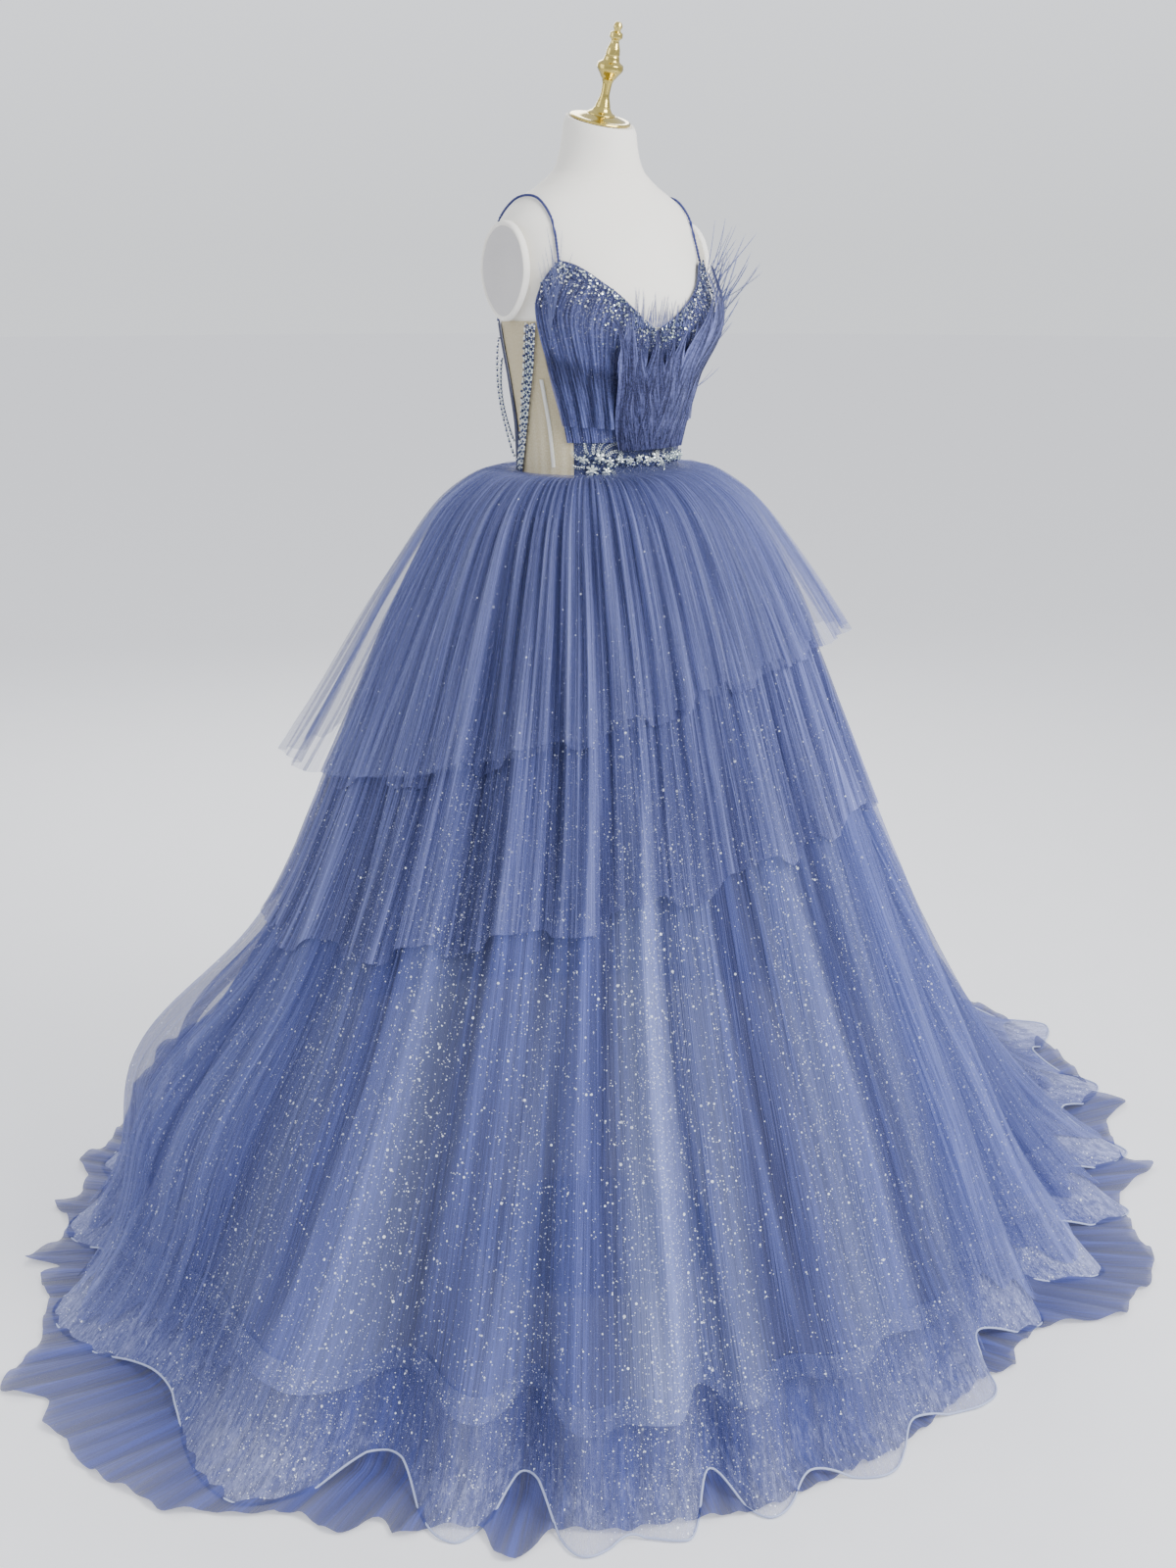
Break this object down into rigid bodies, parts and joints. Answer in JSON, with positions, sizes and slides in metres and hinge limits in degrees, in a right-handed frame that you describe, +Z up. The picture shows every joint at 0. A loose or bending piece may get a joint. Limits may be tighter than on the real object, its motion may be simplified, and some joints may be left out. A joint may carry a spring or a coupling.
{
  "type": "evening gown on a limbless dress form",
  "caption": "Floor-length tiered tulle evening gown with high-low tiers and a train, fitted bodice and thin straps, standing on a limbless dress form with a round base.",
  "frame": {"origin": "centre of the underside of the stand's round base, on the floor, under the body's axis", "axes": "+Z up along the stand's pole; the gown's front faces -Y and the wearer's right side is at -X"},
  "size_m": [1.9843, 1.834, 1.6504],
  "materials": {
    "form_cloth": "matt stretch jersey over a rigid shell",
    "form_plate_grey": "satin",
    "polished_gold": "polished",
    "stand_steel": "brushed",
    "glitter_tulle": "glitter tulle",
    "sheer_tulle": "sheer tulle",
    "under_tulle": "sheer tulle",
    "hem_braid": "stiff translucent braid",
    "beaded_lace": "pleated tulle with sequins",
    "illusion_mesh": "fine sheer mesh",
    "boning_tape": "woven tape",
    "placket_satin": "satin",
    "crystal": "faceted, foil backed",
    "feather": "feather barbs"
  },
  "bodies": {
    "root": {"arm_plate_left": "form_plate_grey", "arm_plate_right": "form_plate_grey", "back_panel_left": "placket_satin", "back_panel_right": "placket_satin", "bead_string_long_left": "crystal", "bead_string_long_right": "crystal", "bead_string_short_left": "crystal", "bead_string_short_right": "crystal", "belt_applique": "crystal", "bodice_cup_left": "beaded_lace", "bodice_cup_right": "beaded_lace", "bodice_front": "beaded_lace", "boning_left": "boning_tape", "boning_right": "boning_tape", "centre_drape": "sheer_tulle", "feather_spray_centre": "feather", "feather_spray_left": "feather", "feather_spray_right": "feather", "form_torso": "form_cloth", "hem_braid": "hem_braid", "lace_strip_left": "beaded_lace", "lace_strip_right": "beaded_lace", "neck_finial": "polished_gold", "neck_plate": "polished_gold", "side_mesh_left": "illusion_mesh", "side_mesh_right": "illusion_mesh", "skirt_main": "glitter_tulle", "skirt_tier_lower": "glitter_tulle", "skirt_tier_upper": "glitter_tulle", "skirt_under_tulle": "under_tulle", "skirt_veil": "sheer_tulle", "stand_base": "stand_steel", "stand_pole": "stand_steel", "strap_left": "glitter_tulle", "strap_right": "glitter_tulle"}
  },
  "joints": []
}
